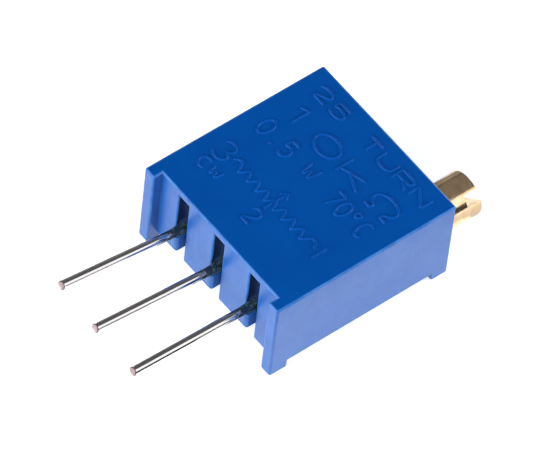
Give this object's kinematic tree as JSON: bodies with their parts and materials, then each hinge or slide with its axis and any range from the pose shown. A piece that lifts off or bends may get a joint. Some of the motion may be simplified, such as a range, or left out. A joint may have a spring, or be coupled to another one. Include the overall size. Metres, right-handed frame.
{
  "type": "multi-turn trimmer potentiometer",
  "caption": "Square trimmer potentiometer with a slotted brass screw beside one edge of its top, a worm-driven wiper inside and wire terminals in line.",
  "frame": {"origin": "on the middle terminal's axis, in the plane of the standoff feet that stand on the board", "axes": "+X across the marked face towards the adjusting screw's side, +Y from the board up to the adjusting screw, +Z out of the marked face"},
  "size_m": [0.0096, 0.0177, 0.0048],
  "materials": {
    "body_plastic": "moulded thermoset, fine satin gloss, saturated blue",
    "brass": "turned brass, bright, fine lathe lines",
    "wire": "tinned copper wire, bright with a soft draw grain",
    "seal_rubber": "moulded silicone rubber, matt",
    "spring_metal": "stamped sheet metal, as rolled",
    "rotor_plastic": "moulded engineering plastic, natural ivory",
    "contact_metal": "stamped precious-metal alloy, satin",
    "ceramic": "fired alumina, matt white",
    "cermet": "fired resistive ink, dark and slightly glassy",
    "conductor": "fired silver-palladium print, satin",
    "solder": "reflowed solder, bright",
    "resin": "cured epoxy, dark blue, glossy"
  },
  "bodies": {
    "case": {"housing": "body_plastic", "back_cover": "body_plastic", "shaft_seal": "seal_rubber", "screw_clip": "spring_metal", "substrate": "ceramic", "resistive_element": "cermet", "collector_track": "conductor", "end_pad_1": "conductor", "end_pad_3": "conductor", "terminal_1": "wire", "terminal_2": "wire", "terminal_3": "wire", "solder_joint_1": "solder", "solder_joint_2": "solder", "solder_joint_3": "solder", "terminal_seal_1": "resin", "terminal_seal_2": "resin", "terminal_seal_3": "resin"},
    "screw": {"adjustment_screw": "brass"},
    "rotor_body": {"rotor": "rotor_plastic", "wiper": "contact_metal"}
  },
  "joints": [
    {"name": "screw_turn", "type": "hinge", "parent": "case", "child": "screw", "pos_m": [0.00349, 0.00555, 0.00075], "axis": [0, -1, 0], "range_deg": [-4500, 4500]},
    {"name": "rotor_turn", "type": "hinge", "parent": "case", "child": "rotor_body", "pos_m": [-0.00051, 0.00555, 0.00075], "axis": [0, 0, 1], "range_deg": [-150, 150]}
  ],
  "couplings": [
    {"joint": "rotor_turn", "follows": "screw_turn", "ratio": 0.033333}
  ]
}
